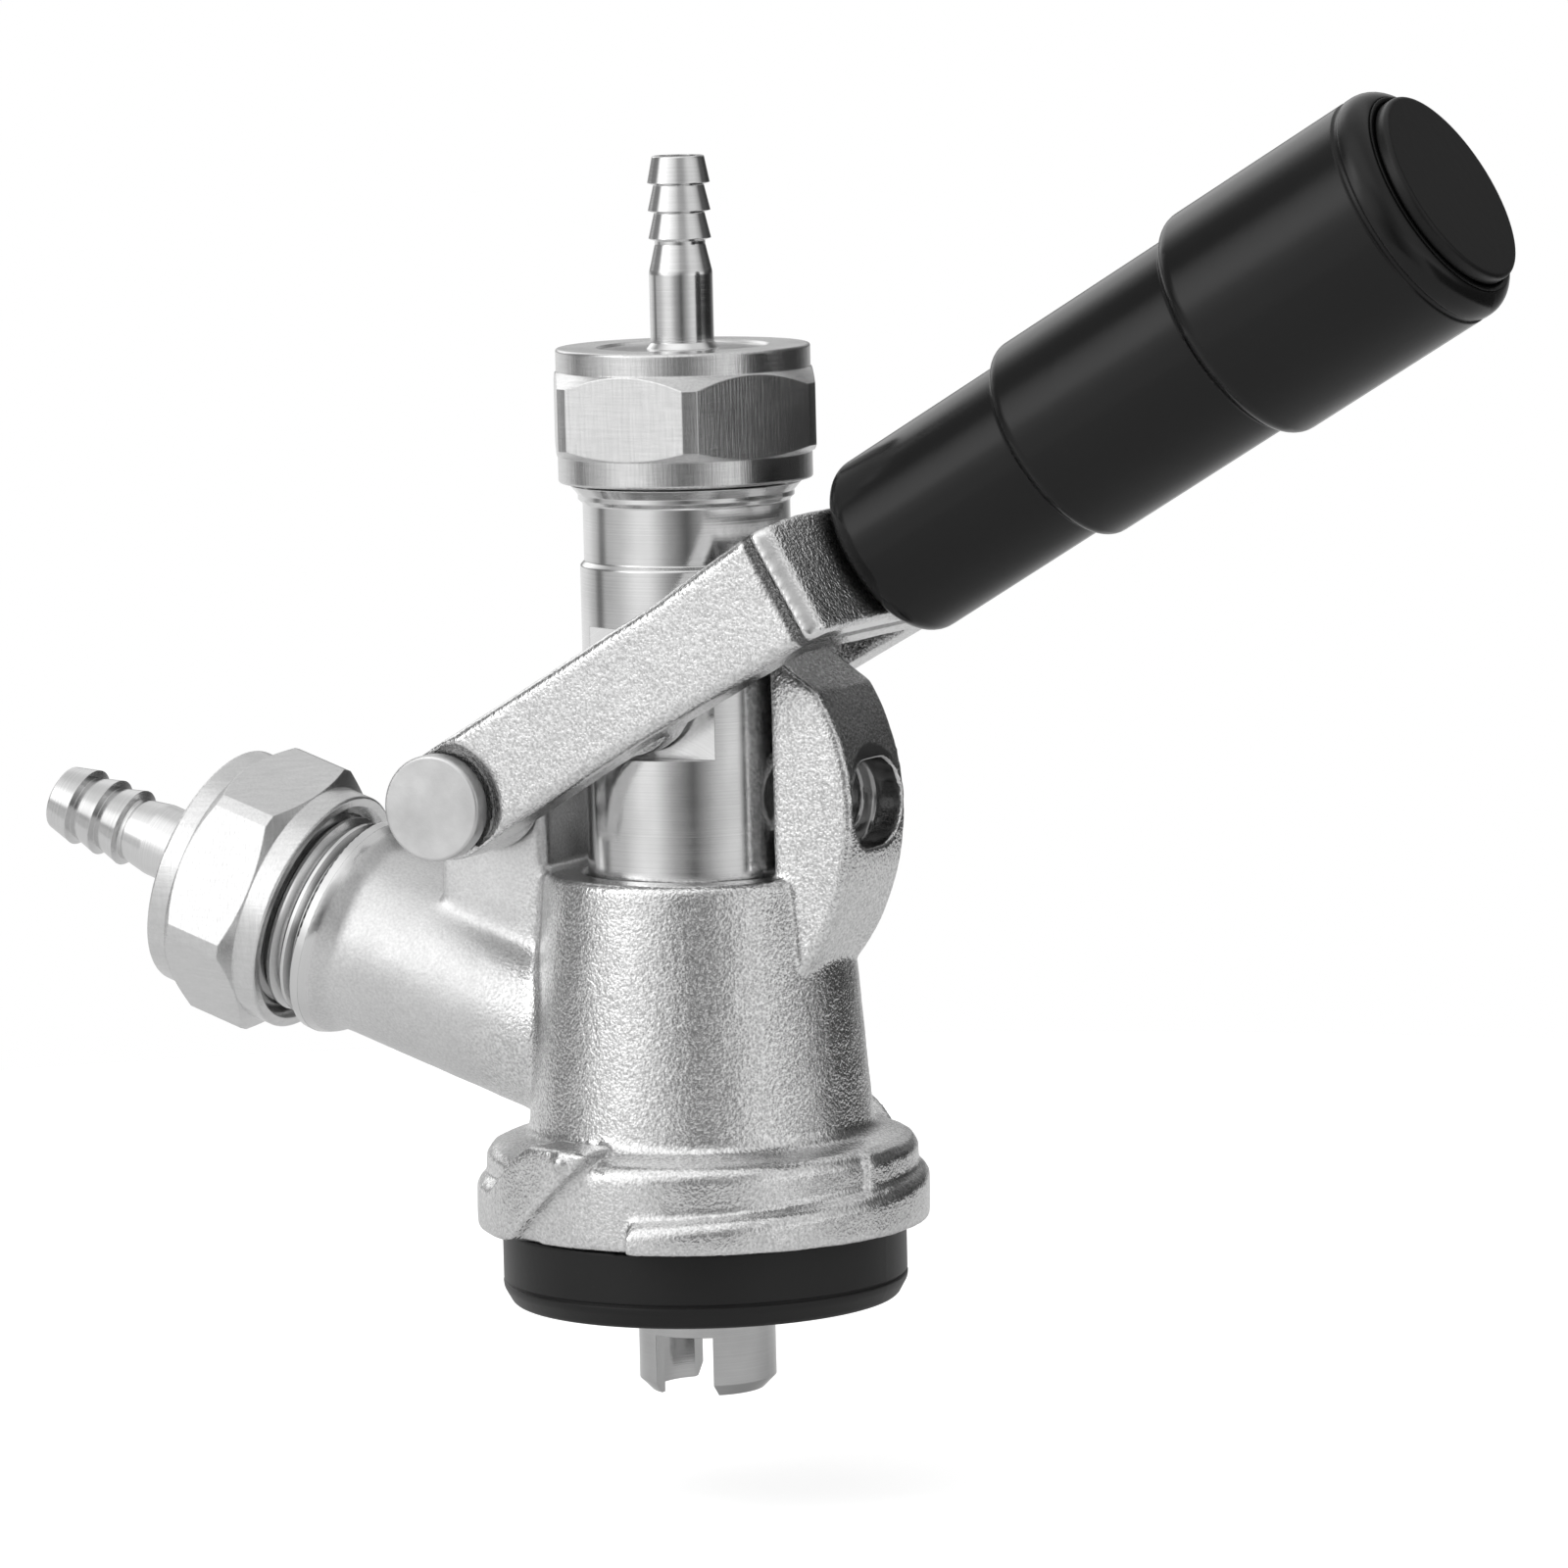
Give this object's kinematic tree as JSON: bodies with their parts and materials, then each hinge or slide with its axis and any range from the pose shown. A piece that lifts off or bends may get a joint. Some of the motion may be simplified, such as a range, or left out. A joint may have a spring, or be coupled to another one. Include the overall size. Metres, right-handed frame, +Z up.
{
  "type": "keg coupler",
  "caption": "Twist-lock keg coupler: a forked lever with a pull-out locking handle slides the probe; a gas branch and a beer outlet carry union nuts and hose tails.",
  "frame": {"origin": "on the probe axis, at the underside of the body seal that rests on the keg valve", "axes": "+Z up along the probe toward the beer outlet, +X toward the handle, gas branch toward -X"},
  "size_m": [0.1773, 0.05, 0.1412],
  "materials": {
    "cast_metal": "fine blasted satin with a soft grain",
    "turned_metal": "fine turned, bright",
    "nut_metal": "plated, lightly brushed flats and turned rings",
    "pin_metal": "flat satin",
    "spring_wire": "drawn wire",
    "black_rubber": "satin moulded",
    "clear_rubber": "milky, slightly see-through",
    "white_plastic": "smooth",
    "grip_plastic": "soft gloss black",
    "cap_plastic": "satin black"
  },
  "bodies": {
    "base": {"body_casting": "cast_metal", "body_seal": "black_rubber", "bore_orings": "black_rubber", "gas_union_nut": "nut_metal", "gas_tailpiece": "turned_metal", "gas_check_valve": "clear_rubber", "pivot_pin": "pin_metal", "pivot_clip": "spring_wire"},
    "lever": {"lever_fork": "cast_metal", "rod_bush": "white_plastic", "end_bush": "white_plastic", "lock_spring": "spring_wire"},
    "grip": {"locking_rod": "turned_metal", "handle_grip": "grip_plastic", "grip_washer": "pin_metal", "grip_nut": "pin_metal", "end_cap": "cap_plastic"},
    "probe": {"probe": "turned_metal", "probe_seal": "black_rubber", "beer_union_nut": "nut_metal", "beer_tailpiece": "turned_metal", "beer_washer": "clear_rubber", "ball_cage": "white_plastic"},
    "ball": {"check_ball": "white_plastic"}
  },
  "joints": [
    {"name": "lever_swing", "type": "hinge", "parent": "base", "child": "lever", "pos_m": [-0.021, 0, 0.0554], "axis": [0, 1, 0], "range_deg": [0, 30.7]},
    {"name": "probe_slide", "type": "slide", "parent": "base", "child": "probe", "axis": [0, 0, 1], "range_m": [-0.01185, 0]},
    {"name": "grip_pull", "type": "slide", "parent": "lever", "child": "grip", "axis": [0.8599, 0, 0.5105], "range_m": [0, 0.006], "stiffness_N_per_m": 1500, "springref_m": -0.006, "deforming": ["lock_spring"]},
    {"name": "ball_lift", "type": "slide", "parent": "probe", "child": "ball", "axis": [0, 0, 1], "range_m": [0, 0.0015]}
  ],
  "couplings": [
    {"joint": "probe_slide", "follows": "lever_swing", "m_per_rad": -0.022106}
  ]
}
